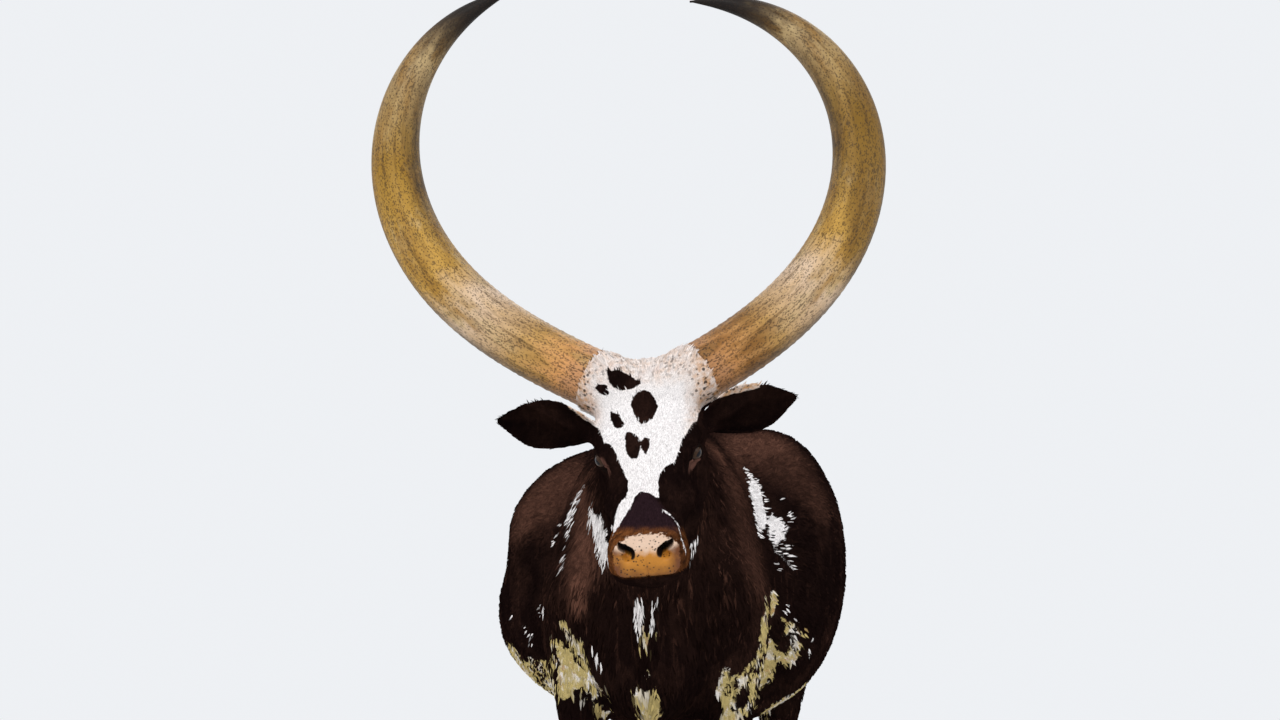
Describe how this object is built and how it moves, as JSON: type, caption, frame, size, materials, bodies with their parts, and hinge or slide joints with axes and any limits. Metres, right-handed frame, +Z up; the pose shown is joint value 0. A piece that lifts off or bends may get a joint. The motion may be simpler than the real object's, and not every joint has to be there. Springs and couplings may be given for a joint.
{
  "type": "standing long-horned cow, still life-size model",
  "caption": "Life-size still model of a long-horned cow, standing square on its hooves with its head held forward and its horns curving up.",
  "frame": {"origin": "on the floor under the middle of the model's bounding box", "axes": "the cow faces -Y, +Z is up, and its left side is towards +X"},
  "size_m": [1.1026, 2.3092, 2.2138],
  "materials": {
    "hide": "short glossy coat, near-black brown with white and cream patches",
    "horn": "ridged pale yellow horn with brown speckles, orange-brown base and black tip",
    "claw": "dull dark hoof horn with fine growth rings",
    "nose": "moist pebbled skin, pink above and orange-brown below",
    "eye": "wet dark brown eye",
    "switch": "long coarse tail hair, cream with dark strands"
  },
  "bodies": {
    "root": {"claw_front_left_inner": "claw", "claw_front_left_outer": "claw", "claw_front_right_inner": "claw", "claw_front_right_outer": "claw", "claw_hind_left_inner": "claw", "claw_hind_left_outer": "claw", "claw_hind_right_inner": "claw", "claw_hind_right_outer": "claw", "dewclaw_front_left_inner": "claw", "dewclaw_front_left_outer": "claw", "dewclaw_front_right_inner": "claw", "dewclaw_front_right_outer": "claw", "dewclaw_hind_left_inner": "claw", "dewclaw_hind_left_outer": "claw", "dewclaw_hind_right_inner": "claw", "dewclaw_hind_right_outer": "claw", "ear_left": "hide", "ear_right": "hide", "eye_left": "eye", "eye_right": "eye", "head": "hide", "horn_left": "horn", "horn_right": "horn", "leg_front_left_shank": "hide", "leg_front_left_upper": "hide", "leg_front_right_shank": "hide", "leg_front_right_upper": "hide", "leg_hind_left_shank": "hide", "leg_hind_left_upper": "hide", "leg_hind_right_shank": "hide", "leg_hind_right_upper": "hide", "neck": "hide", "nose": "nose", "tail_dock": "hide", "tail_switch": "switch", "torso": "hide", "udder": "hide"}
  },
  "joints": []
}
